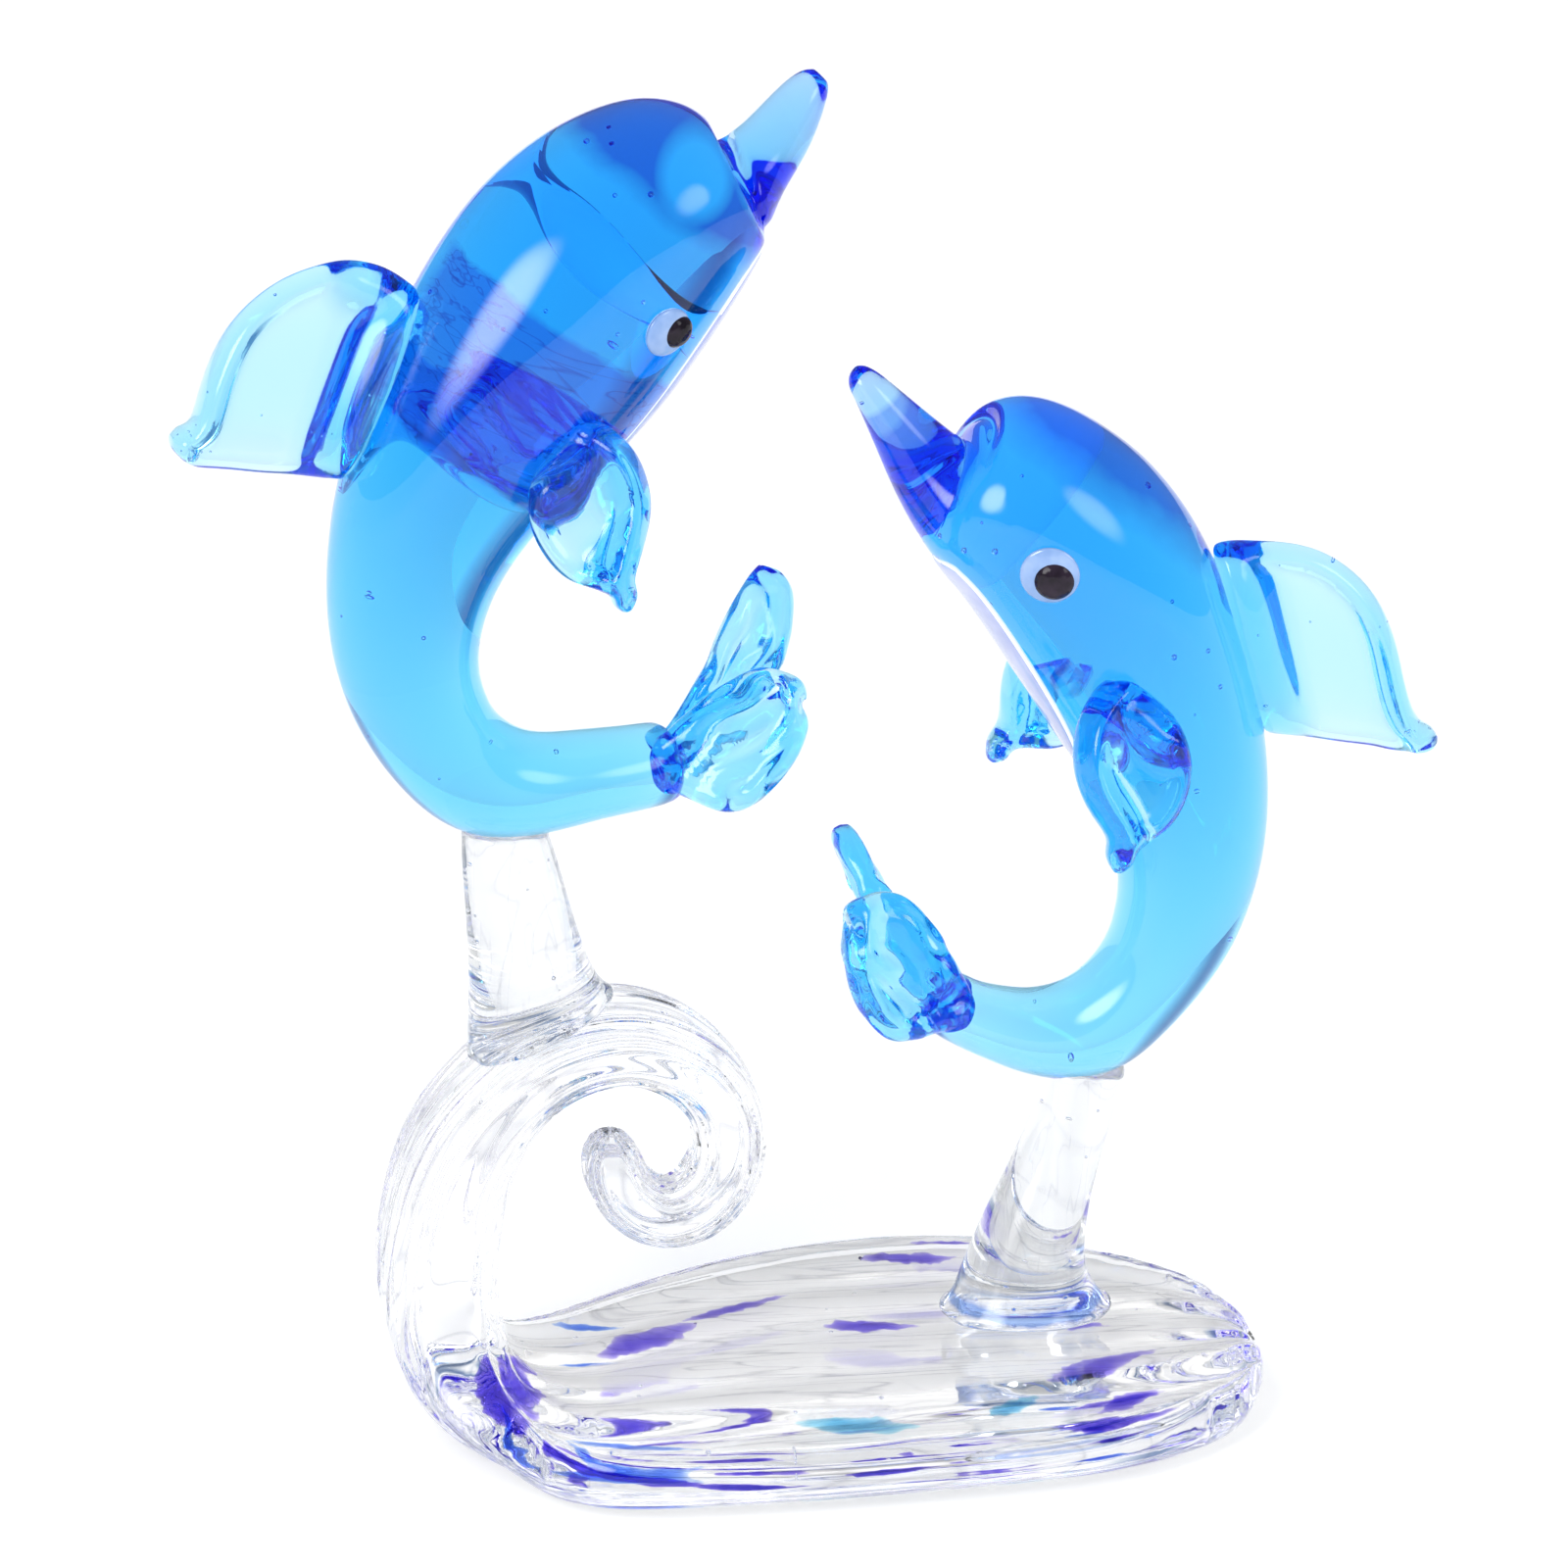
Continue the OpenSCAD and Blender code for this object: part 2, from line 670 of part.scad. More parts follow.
module lower_fluke(rows, swing, twist) {
    place_lower()
        fluke(lower_body, rows, swing, twist);
}

module upper_dolphin_body() { place_upper() body(upper_body); }
module upper_dolphin_belly_stripe() { place_upper() belly_stripe(upper_body, 12.6, 22); }
module upper_dolphin_dorsal_fin() {
    place_upper()
        dorsal_fin(upper_dorsal_rows, upper_dorsal_l, upper_body, 13.47);
}
module upper_dolphin_front_flipper() { upper_flipper_blade(1); }
module upper_dolphin_rear_flipper() { upper_flipper_blade(-1); }
module upper_dolphin_front_fluke() { upper_fluke(front_fluke_rows, 0, 0); }
module upper_dolphin_rear_fluke() { upper_fluke(upper_rear_fluke_rows, 0, 0); }
module upper_dolphin_front_eye() { upper_eye_disc(1); }
module upper_dolphin_rear_eye() { upper_eye_disc(-1); }
module upper_dolphin_front_pupil() { upper_pupil(1); }
module upper_dolphin_rear_pupil() { upper_pupil(-1); }

module lower_dolphin_body() { place_lower() body(lower_body); }
module lower_dolphin_belly_stripe() { place_lower() belly_stripe(lower_body, 12.5, 20); }
module lower_dolphin_dorsal_fin() {
    place_lower()
        dorsal_fin(lower_dorsal_rows, lower_dorsal_l, lower_body, 14);
}
module lower_dolphin_front_flipper() { lower_flipper_blade(1, lower_front_flipper, 4, 0); }
module lower_dolphin_rear_flipper() { lower_flipper_blade(-1, lower_rear_flipper, 38, 15); }
module lower_dolphin_front_fluke() { lower_fluke(front_fluke_rows, 22, 0); }
module lower_dolphin_rear_fluke() { lower_fluke(lower_rear_fluke_rows, 0, 0); }
module lower_dolphin_front_eye() { lower_eye_disc(1); }
module lower_dolphin_rear_eye() { lower_eye_disc(-1); }
module lower_dolphin_front_pupil() { lower_pupil(1); }
module lower_dolphin_rear_pupil() { lower_pupil(-1); }

wave_base();
scroll_post();
base_post();
violet_streaks();
blue_streaks();
turquoise_patch();
upper_dolphin_body();
upper_dolphin_belly_stripe();
upper_dolphin_dorsal_fin();
upper_dolphin_front_flipper();
upper_dolphin_rear_flipper();
upper_dolphin_front_fluke();
upper_dolphin_rear_fluke();
upper_dolphin_front_eye();
upper_dolphin_rear_eye();
upper_dolphin_front_pupil();
upper_dolphin_rear_pupil();
lower_dolphin_body();
lower_dolphin_belly_stripe();
lower_dolphin_dorsal_fin();
lower_dolphin_front_flipper();
lower_dolphin_rear_flipper();
lower_dolphin_front_fluke();
lower_dolphin_rear_fluke();
lower_dolphin_front_eye();
lower_dolphin_rear_eye();
lower_dolphin_front_pupil();
lower_dolphin_rear_pupil();
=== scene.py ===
import json
import math

import bmesh
import bpy
import numpy as np
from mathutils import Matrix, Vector, noise
from mathutils.bvhtree import BVHTree


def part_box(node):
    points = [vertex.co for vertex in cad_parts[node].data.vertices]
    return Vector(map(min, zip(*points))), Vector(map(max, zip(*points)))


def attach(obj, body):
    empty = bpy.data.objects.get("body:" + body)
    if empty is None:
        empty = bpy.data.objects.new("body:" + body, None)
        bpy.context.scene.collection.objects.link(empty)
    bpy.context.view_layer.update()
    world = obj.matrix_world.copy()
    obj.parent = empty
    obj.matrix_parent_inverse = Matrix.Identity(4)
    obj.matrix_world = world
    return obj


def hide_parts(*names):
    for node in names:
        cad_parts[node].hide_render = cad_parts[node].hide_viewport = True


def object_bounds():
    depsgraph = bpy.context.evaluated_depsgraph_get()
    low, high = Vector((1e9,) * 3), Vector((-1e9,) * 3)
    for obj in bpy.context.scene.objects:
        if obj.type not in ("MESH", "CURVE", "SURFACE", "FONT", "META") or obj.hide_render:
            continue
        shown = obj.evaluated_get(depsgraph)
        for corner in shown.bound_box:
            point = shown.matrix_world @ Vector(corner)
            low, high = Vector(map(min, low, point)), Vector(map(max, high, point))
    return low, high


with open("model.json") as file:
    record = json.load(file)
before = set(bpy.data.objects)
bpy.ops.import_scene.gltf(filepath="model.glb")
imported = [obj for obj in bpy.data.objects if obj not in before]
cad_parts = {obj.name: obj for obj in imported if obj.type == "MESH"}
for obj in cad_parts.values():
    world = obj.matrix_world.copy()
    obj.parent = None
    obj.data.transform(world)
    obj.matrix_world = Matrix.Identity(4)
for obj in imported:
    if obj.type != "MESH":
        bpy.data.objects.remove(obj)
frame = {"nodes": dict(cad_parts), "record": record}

cad_lo, cad_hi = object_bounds()
nodes = frame["nodes"]
slots = {s["node"]: s["material_slot"] for s in frame["record"]["subparts"]}
scene = bpy.context.scene

MM = 0.001
DOLPHINS = ("upper", "lower")
SIDES = ("front", "rear")
ORIGIN = Vector((0, 0, 0))
UP = (0, 0, 1)

# Places on a dolphin are measured from its front eye, in millimetres
eyes = {}
for who in DOLPHINS:
    eye_lo, eye_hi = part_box(who + "_dolphin_front_eye")
    eyes[who] = (eye_lo + eye_hi) / 2


def from_eye(who, x, z):
    """A point in metres, x and z millimetres from an eye, in the middle plane (Y = 0)."""
    return Vector((eyes[who].x + x * MM, 0, eyes[who].z + z * MM))


# ---- Helpers for materials ----

WHITE = (1, 1, 1, 1)
GLASS_IOR = 1.5
BUMP_DISTANCE = 0.4 * MM


def principled(name, **values):
    """A material with one Principled shader; values are given by socket name with spaces as underscores."""
    mat = bpy.data.materials.new(name)
    mat.use_nodes = True
    nt = mat.node_tree
    shader = nt.nodes["Principled BSDF"]
    for key, value in values.items():
        shader.inputs[key.replace("_", " ")].default_value = value
    return mat, nt, shader


def add(nt, kind, inputs=(), **props):
    """A node with its properties set and its inputs linked to sockets or given values."""
    node = nt.nodes.new(kind)
    for key, value in props.items():
        setattr(node, key, value)
    for key, value in dict(inputs).items():
        if isinstance(value, bpy.types.NodeSocket):
            nt.links.new(value, node.inputs[key])
        else:
            node.inputs[key].default_value = value
    return node


def calc(nt, operation, *values):
    return add(nt, "ShaderNodeMath", dict(enumerate(values)), operation=operation).outputs[0]


def product(nt, first, *others):
    for other in others:
        first = calc(nt, "MULTIPLY", first, other)
    return first


def ramp(nt, fac, stops):
    """A colour ramp from (position, grey) or (position, colour) stops."""
    node = add(nt, "ShaderNodeValToRGB", {"Fac": fac})
    elements = node.color_ramp.elements
    while len(elements) < len(stops):
        elements.new(0.5)
    for element, (place, value) in zip(elements, stops):
        element.position = place
        element.color = (value, value, value, 1) if isinstance(value, (int, float)) else (*value, 1)
    return node.outputs["Color"]


def object_point(nt):
    return add(nt, "ShaderNodeTexCoord").outputs["Object"]


def grain(nt, scale, detail, roughness=0.5, rotation=(0, 0, 0)):
    """Noise, 0 to 1. scale is its fineness along axes that are turned by rotation."""
    turned = add(nt, "ShaderNodeMapping", {
        "Vector": object_point(nt), "Rotation": rotation, "Scale": [1 / v for v in scale]},
        vector_type="TEXTURE")
    field = add(nt, "ShaderNodeTexNoise", {"Vector": turned.outputs["Vector"], "Scale": 1.0,
                                           "Detail": detail, "Roughness": roughness})
    return field.outputs["Fac"]


def lines(nt, scale, turn, place, width):
    """1 on thin wandering lines, where noise turned about Y passes through a value, and 0 elsewhere."""
    return ramp(nt, grain(nt, scale, 2.0, rotation=(0, turn, 0)),
                [(place - width, 0.0), (place, 1.0), (place + width, 0.0)])


def level(nt, way, start, low, high):
    """0 to 1 from low to high millimetres past start, measured along way, with a wandering edge. It falls
    instead where low is above high."""
    wander = 1.6 * MM
    along = add(nt, "ShaderNodeVectorMath", {0: object_point(nt), 1: way}, operation="DOT_PRODUCT")
    wave = calc(nt, "MULTIPLY_ADD", grain(nt, (260, 260, 260), 3.0), wander, -wander / 2)
    zero = start.dot(Vector(way))
    return add(nt, "ShaderNodeMapRange", {
        "Value": calc(nt, "ADD", along.outputs["Value"], wave),
        "From Min": zero + low * MM, "From Max": zero + high * MM}).outputs[0]


def outside(nt, centre, low, high):
    """0 to 1 from low to high millimetres away from a line through centre along Y."""
    flat = add(nt, "ShaderNodeVectorMath", {0: object_point(nt), 1: (1, 0, 1)}, operation="MULTIPLY")
    away = add(nt, "ShaderNodeVectorMath", {0: flat.outputs[0], 1: centre}, operation="DISTANCE")
    return add(nt, "ShaderNodeMapRange", {
        "Value": away.outputs["Value"], "From Min": low * MM, "From Max": high * MM}).outputs[0]


def paint(nt, shader, below, layers):
    """Multiplies a base colour by each tint where its mask is 1. layers are (mask, tint)."""
    for mask, tint in layers:
        mix = add(nt, "ShaderNodeMixRGB", {"Fac": mask, "Color1": below, "Color2": (*tint, 1)},
                  blend_type="MULTIPLY")
        below = mix.outputs[0]
    nt.links.new(below, shader.inputs["Base Color"])


def absorb(nt, colour, density):
    """Fills the piece with glass that absorbs light: colour and density are plain values."""
    volume = add(nt, "ShaderNodeVolumeAbsorption", {"Color": (*colour, 1), "Density": density})
    nt.links.new(volume.outputs["Volume"], nt.nodes["Material Output"].inputs["Volume"])


def bumped(nt, shader, height, strength):
    bump = add(nt, "ShaderNodeBump", {"Height": height, "Strength": strength, "Distance": BUMP_DISTANCE})
    nt.links.new(bump.outputs["Normal"], shader.inputs["Normal"])


# ---- Kinds of glass ----

def blue_glass(name, density, wobble):
    mat, nt, shader = principled(name, Base_Color=WHITE, Roughness=0.0, IOR=GLASS_IOR,
                                 Transmission_Weight=1.0)
    absorb(nt, (0.03, 0.775, 0.985), density)
    bumped(nt, shader, grain(nt, (90, 90, 90), 2.0, 0.4), wobble)
    return mat, nt, shader


def clear_glass(name, scale, strength, grey, density):
    """Clear glass with drawn cords: fine ridges along the way it was pulled, and greyish lines of painted
    shade in its colour along them.
    """
    line_half_width = 0.007
    mat, nt, shader = principled(name, Roughness=0.0, IOR=GLASS_IOR, Transmission_Weight=1.0)
    absorb(nt, (0.8, 0.82, 0.83), density)
    cords = grain(nt, scale, 3.0)
    bumped(nt, shader, cords, strength)
    # The grey stops are painted shade: dark lines along the cords
    stops = [(0.0, 1.0)]
    for place in (0.4, 0.5, 0.6, 0.68):
        stops += [(place - line_half_width, 1.0), (place, grey), (place + line_half_width, 1.0)]
    nt.links.new(ramp(nt, cords, stops), shader.inputs["Base Color"])
    return mat


def enclosed_glass(name, colour, density, tint):
    """Coloured glass inside clear glass. Its IOR is next to 1, so only its colour shows."""
    mat, nt, shader = principled(name, Roughness=0.0, IOR=1.001, Transmission_Weight=1.0)
    shade = ramp(nt, grain(nt, (300, 900, 300), 4.0), [(0.35, 1.0), (0.65, tint)])
    nt.links.new(shade, shader.inputs["Base Color"])
    absorb(nt, colour, density)
    return mat


def clouded(name, low, high, scale, **values):
    """An opaque glass whose colour drifts between two shades."""
    mat, nt, shader = principled(name, **values)
    shade = ramp(nt, grain(nt, (scale, scale, scale), 3.0), [(0.3, low), (0.7, high)])
    nt.links.new(shade, shader.inputs["Base Color"])
    return mat


# ---- Materials ----

HEAD_TINT = (0.75, 0.78, 0.97)


def lower_body_glass():
    """Bluer towards the head, with painted shade darkening the melon and the beak."""
    mat, nt, shader = blue_glass("blue_glass_lower", 210, 0.12)
    eye = eyes["lower"]
    beak_way = (-0.75, 0, 0.66)
    head = level(nt, (-0.3, 0, 0.95), eye, -16.24, 18.76)
    # Painted shade: the melon and beak masks darken the colour where the thick head glass looks dark
    melon = level(nt, (0.6, 0, 0.8), eye, 5.11, 7.91)
    beak = product(nt, level(nt, beak_way, eye, 7.38, 8.68), level(nt, beak_way, eye, 13.68, 13.08),
                   level(nt, (0.66, 0, 0.75), eye, 4.92, 4.22))
    paint(nt, shader, WHITE, [(head, HEAD_TINT), (melon, (0.2, 0.14, 0.52)), (beak, (0.3, 0.35, 0.85))])
    return mat


def upper_body_glass():
    """Bluer towards the head, with a dark band of painted shade on its −Y side, streaked with darker
    painted lines, and a melon darkened by painted shade except in a clear window.
    """
    mat, nt, shader = blue_glass("blue_glass_upper", 228, 0.12)
    eye = eyes["upper"]
    band_way = (0.574, 0, 0.819)
    head = level(nt, (0.5, 0, 0.86), eye, -14.89, 20.11)
    # Painted shade: a dark band on the −Y side, with darker painted streaks through it
    band = product(nt, level(nt, (0, -1, 0), ORIGIN, 0.0, 2.0),
                   level(nt, band_way, eye, -15.75, -15.15), level(nt, band_way, eye, -3.45, -4.05))
    shade_streaks = (lines(nt, (50, 300, 900), 0.42, 0.5, 0.025), lines(nt, (70, 300, 700), 0.7, 0.54, 0.02))
    # Painted shade: the melon is darkened, all but a clear window
    melon = product(nt, level(nt, (0.6, 0, 0.8), eye, 5.72, 7.42),
                    level(nt, (0.924, 0, 0.38), eye, 9.28, 8.08),
                    outside(nt, from_eye("upper", 2.24, 10.22), 1.9, 3.0))
    layers = [(head, HEAD_TINT), (band, (0.42, 0.25, 0.7))]
    layers += [(product(nt, band, shade_streak), (0.6, 0.3, 0.6)) for shade_streak in shade_streaks]
    paint(nt, shader, WHITE, layers + [(melon, (0.2, 0.12, 0.5))])
    return mat


def post_glass(name):
    return clear_glass(name, (260, 260, 30), 0.1, (0.8, 0.8, 0.83), 60)


def foot_glass():
    """The lower post's clear glass, with a blue ring just above its foot."""
    mat = post_glass("clear_glass_foot")
    nt = mat.node_tree
    shader = nt.nodes["Principled BSDF"]
    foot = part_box("base_post")[0]
    ring = product(nt, level(nt, UP, foot, 0.58, 0.88), level(nt, UP, foot, 1.88, 1.48))
    below = shader.inputs["Base Color"].links[0].from_socket
    paint(nt, shader, below, [(ring, (0.15, 0.3, 0.85))])
    return mat


opal_gloss = {"Roughness": 0.12, "Coat_Weight": 0.6, "Coat_Roughness": 0.03}
slot_mats = {
    "clear_glass": post_glass("clear_glass_posts"),
    "blue_glass": blue_glass("blue_glass_fins", 350, 0.3)[0],
    "opal_glass": clouded("opal_glass", (0.18, 0.32, 0.62), (0.34, 0.48, 0.76), 500, **opal_gloss),
    "black_glass": clouded("black_glass", (0.008, 0.006, 0.01), (0.03, 0.02, 0.035), 700,
                           Roughness=0.05, IOR=1.3),
    "violet_glass": enclosed_glass("violet_glass", (0.2, 0.05, 0.86), 3200, (0.8, 0.75, 1.0)),
    "cobalt_glass": enclosed_glass("cobalt_glass", (0.02, 0.35, 0.94), 3600, (0.7, 0.8, 1.0)),
    "turquoise_glass": enclosed_glass("turquoise_glass", (0.02, 0.57, 0.83), 2200, (0.8, 1.0, 1.0)),
}

# Pieces whose glass differs from their slot's
fluke_mat = blue_glass("blue_glass_flukes", 500, 0.3)[0]
stripe_mat = clouded("opal_glass_stripes", (0.4, 0.45, 0.74), (0.6, 0.63, 0.88), 300, **opal_gloss)
piece_mats = {
    "upper_dolphin_body": upper_body_glass(),
    "lower_dolphin_body": lower_body_glass(),
    "wave_base": clear_glass("clear_glass_base", (14, 210, 14), 0.12, (0.58, 0.58, 0.62), 4),
    "base_post": foot_glass(),
}
for who in DOLPHINS:
    for part in ("front_fluke", "rear_fluke", "front_flipper"):
        piece_mats[f"{who}_dolphin_{part}"] = fluke_mat
    piece_mats[who + "_dolphin_belly_stripe"] = stripe_mat

# The opal pieces' faces inside a body glow faintly, or the body would magnify them as dark patches
inner_opal = clouded("opal_glass_inner", (0.5, 0.6, 0.8), (0.6, 0.7, 0.9), 400, Roughness=0.5,
                     Emission_Color=(0.85, 0.95, 1.0, 1), Emission_Strength=0.8)


# ---- Shaping: points and lengths are in millimetres, and meshes in metres ----

def smooth_mesh(node, levels):
    """The CAD node's surface, joined into quads and rounded by subdivision."""
    merge_distance = 1e-6
    face_angle, shape_angle = math.radians(50), math.radians(100)
    bm = bmesh.new()
    bm.from_mesh(nodes[node].data)
    bmesh.ops.remove_doubles(bm, verts=bm.verts, dist=merge_distance)
    bmesh.ops.join_triangles(bm, faces=bm.faces, angle_face_threshold=face_angle,
                             angle_shape_threshold=shape_angle)
    mesh = bpy.data.meshes.new("tmp")
    bm.to_mesh(mesh)
    bm.free()
    carrier = bpy.data.objects.new("tmp", mesh)
    scene.collection.objects.link(carrier)
    mod = carrier.modifiers.new("sub", "SUBSURF")
    mod.levels = levels
    mod.render_levels = levels
    dg = bpy.context.evaluated_depsgraph_get()
    out = bpy.data.meshes.new_from_object(carrier.evaluated_get(dg))
    bpy.data.objects.remove(carrier)
    bpy.data.meshes.remove(mesh)
    return out


def points(mesh):
    co = np.empty(len(mesh.vertices) * 3, np.float32)
    mesh.vertices.foreach_get("co", co)
    return co.reshape(-1, 3).astype(float) / MM


def move(mesh, co):
    mesh.vertices.foreach_set("co", (co * MM).astype(np.float32).ravel())
    mesh.update()


def normals(mesh):
    out = np.empty(len(mesh.vertices) * 3, np.float32)
    mesh.vertex_normals.foreach_get("vector", out)
    return out.reshape(-1, 3).astype(float)


def bell(d, width):
    return np.exp(-(d / width) ** 2)


def step(value, low, high):
    t = np.clip((value - low) / (high - low), 0, 1)
    return t * t * (3 - 2 * t)


def lumps(co, size, seed):
    """Smooth noise, about -1 to 1, at each point."""
    shift = Vector((seed * 7.3, seed * 3.1, seed * 5.7))
    return np.array([noise.noise(Vector(p) / size + shift) for p in co]) * 1.6


def farthest(co, way):
    return co[(co @ np.array(way, float)).argmax()]


def distance_to(co, targets, batch=2000):
    """From each point to the nearest target, a batch at a time to spare memory."""
    out = np.empty(len(co))
    for k in range(0, len(co), batch):
        out[k:k + batch] = np.sqrt(((co[k:k + batch, None] - targets[None]) ** 2).sum(2)).min(1)
    return out


def crease(mesh, at, across):
    """Pinches a narrow groove into a body over the top of the place where its beak starts."""
    depth, width = 0.9, 0.4
    co = points(mesh)
    off = (co - np.array(at)) @ np.array(across)
    far = np.linalg.norm(co - np.array(at), axis=1)
    move(mesh, co - normals(mesh) * (depth * bell(off, width) * (1 - step(far, 3.0, 5.5)))[:, None])


def thin_axis(co):
    """Centre of a blade and the direction through its faces."""
    centre = co.mean(0)
    values, vectors = np.linalg.eigh(np.cov((co - centre).T))
    normal = vectors[:, 0]
    return centre, normal if normal[1] < 0 else -normal


def roll_edges(mesh, web, edges):
    """Thins a blade's web and rolls up its edges. Each edge is (outward direction, how far in from the
    rim its bead's middle lies, the bead's width, the bead's gain in thickness)."""
    co = points(mesh)
    nor = normals(mesh)
    centre, face = thin_axis(co)
    lift = (co - centre) @ face
    flat = co - np.outer(lift, face)
    rim = np.abs(nor @ face) < 0.25  # points whose normals look outward, not through the faces
    rim_points = flat[rim]
    out = nor[rim] - np.outer(nor[rim] @ face, face)
    out /= np.linalg.norm(out, axis=1)[:, None]
    gain = np.zeros(len(co))
    for way, inset, width, more in edges:
        way = np.array(way, float) / np.linalg.norm(way)
        part = rim_points[out @ way > 0.35]
        if len(part):
            gain = np.maximum(gain, more * bell(distance_to(flat, part) - inset, width))
    factor = 1 - (1 - web) * step(distance_to(flat, rim_points), 0.5, 1.6) + gain
    move(mesh, co + np.outer(lift * (factor - 1), face))


def ridges(mesh, along, count, depth, notches=()):
    """Combs ridges along a blade and presses notches into its rim. along is the ridges' direction, and a
    notch is (position across, position along) as shares of the blade, and its depth."""
    notch_width = 1.0
    co = points(mesh)
    nor = normals(mesh)
    centre, face = thin_axis(co)
    along = np.array(along, float)
    along -= face * (along @ face)
    along /= np.linalg.norm(along)
    across = np.cross(face, along)
    a, c = (co - centre) @ along, (co - centre) @ across
    share_a = (a - a.min()) / np.ptp(a)
    share_c = (c - c.min()) / np.ptp(c)
    wave = np.sin(share_c * count * 2 * math.pi + 2.5 * lumps(co, 3.0, 2.0))
    body = step(share_a, 0.12, 0.3) * (1 - step(share_a, 0.7, 0.9)) * np.abs(nor @ face)
    co = co + nor * (wave * depth * body)[:, None]
    for place_c, place_a, deep in notches:
        d = np.hypot((share_c - place_c) * np.ptp(c), (share_a - place_a) * np.ptp(a))
        co = co - nor * (bell(d, notch_width) * deep)[:, None]
    move(mesh, co)


def comb(mesh):
    """Combs fine ridges along the slab and strap, and folds scallops into the slab's free end."""
    slab_top, strap_x, bin_length = 8.0, -24.0, 1.5
    slab_depth, strap_depth, fold_depth = 0.07, 0.16, 0.45
    co = points(mesh)
    nor = normals(mesh)
    end = co[:, 0].max()
    low = co[:, 2] < slab_top
    slab = low & (co[:, 0] >= strap_x)

    # How far each point lies across the slab, as a share of the slab's half width there
    half = np.full(len(co), 6.0)
    mid = np.zeros(len(co))
    bins = np.round(co[:, 0] / bin_length).astype(int)
    for k in np.unique(bins[slab]):
        inside = low & (bins == k)
        ys = co[inside, 1]
        half[inside], mid[inside] = np.ptp(ys) / 2, (ys.max() + ys.min()) / 2
    share = (co[:, 1] - mid) / np.maximum(half, 2)

    # The ridges fade out towards the underside
    drift = lumps(co, 9.0, 3.0)
    around = np.arccos(np.clip(nor[:, 1], -1, 1))
    strap_wave = np.sin(co[:, 1] * 2.3 + 0.8 * drift) + 0.9 * np.sin(around * 13 + 0.8 * drift)
    wave = np.where(slab, np.sin(share * 11 + 1.6 * drift), strap_wave)
    amount = np.where(slab, slab_depth, strap_depth)
    amount *= np.where(low, step(co[:, 2], 0.8, 2.5), 1)
    amount *= np.where(co[:, 0] < strap_x + 2, step(co[:, 2], 3, 12), 1)
    co = co + nor * (wave * amount)[:, None]

    # The scallops fan out from a point 11 mm in from the free end
    centre = np.array([end - 11, mid[co[:, 0] > end - 12].mean()])
    angle = np.arctan2(co[:, 1] - centre[1], co[:, 0] - centre[0])
    off_floor = step(co[:, 2], 0.3, 1.5)
    fold = np.abs(np.sin(angle * 5.5)) ** 0.7 * step(co[:, 0], end - 11, end - 5) * low * off_floor
    pinch = fold_depth * (1 - fold) * step(co[:, 0], end - 9, end - 4) * low * off_floor
    co[:, :2] -= nor[:, :2] * pinch[:, None]
    move(mesh, co)


def fray(mesh, size, ragged):
    """Roughens an enclosed streak, mostly sideways."""
    co = points(mesh)
    rough = 0.4 * lumps(co, size, 5.0) + 0.3 * lumps(co, size * 0.35, 8.0)
    move(mesh, co + normals(mesh) * (1, 1, 0.1) * (ragged * rough)[:, None])


# ---- Bubbles ----

rng = np.random.default_rng(7)


def surface_tree(mesh):
    bm = bmesh.new()
    bm.from_mesh(mesh)
    tree = BVHTree.FromBMesh(bm)
    bm.free()
    return tree


def within(place, radius, weights=1):
    return lambda p: np.linalg.norm((p - place) * weights) < radius


def scatter(mesh, count, deep, keep=None):
    """Up to count random points inside a piece, between deep[0] and deep[1] millimetres under its skin."""
    tries_each = 400
    tree = surface_tree(mesh)
    co = points(mesh)
    lo, hi = co.min(0), co.max(0)
    found = []
    for _ in range(count * tries_each):
        p = lo + rng.random(3) * (hi - lo)
        if keep is not None and not keep(p):
            continue
        at, nor, _face, dist = tree.find_nearest(Vector(p) * MM)
        if (Vector(p) * MM - at).dot(nor) < 0 and deep[0] < dist / MM < deep[1]:
            found.append(p)
            if len(found) == count:
                break
    return found


def bubbles(mesh, radii, *groups):
    """Adds closed round cavities. radii is their range, and a group is what scatter() takes after mesh."""
    spots = [spot for group in groups for spot in scatter(mesh, *group)]
    bm = bmesh.new()
    bm.from_mesh(mesh)
    for centre, radius in zip(spots, rng.uniform(*radii, len(spots))):
        made = bmesh.ops.create_icosphere(bm, subdivisions=2, radius=radius * MM)["verts"]
        for v in made:
            v.co += Vector(centre) * MM
        bmesh.ops.reverse_faces(bm, faces=list({f for v in made for f in v.link_faces}))
    bm.to_mesh(mesh)
    bm.free()


# ---- Pieces, in millimetres. out is 1 or -1: the side of X that a piece points to ----

meshes = {node: smooth_mesh(node, 3 if node == "wave_base" else 2) for node in sorted(nodes)}
body_trees = {who: surface_tree(meshes[who + "_dolphin_body"]) for who in DOLPHINS}


def dorsal_fin(who, out):
    """A rolled leading edge, a thick root, a thin web, and bubbles that gather at the tip."""
    fin = meshes[who + "_dolphin_dorsal_fin"]
    roll_edges(fin, 0.8, [((0.45 * out, 0, 1), 0.8, 0.8, 0.65), ((-out, 0, 0.1), 1.5, 1.6, 1.0)])
    tip = farthest(points(fin), (out, 0, -0.25))
    bubbles(fin, (0.06, 0.13), (12, (0.12, 1.5), within(tip, 2.2)), (9, (0.2, 1.5)))


def flipper(who, side, out):
    """Rolled edges, a thin web, and bubbles that gather at the tip."""
    mesh = meshes[f"{who}_dolphin_{side}_flipper"]
    roll_edges(mesh, 0.6, [((out, 0, -0.2), 1.2, 1.1, 1.5), ((0.2 * out, 0, 1), 1.6, 1.6, 1.1)])
    tip = farthest(points(mesh), (0, 0, -1))
    bubbles(mesh, (0.06, 0.14), (12, (0.1, 1.2), within(tip, 1.6)))


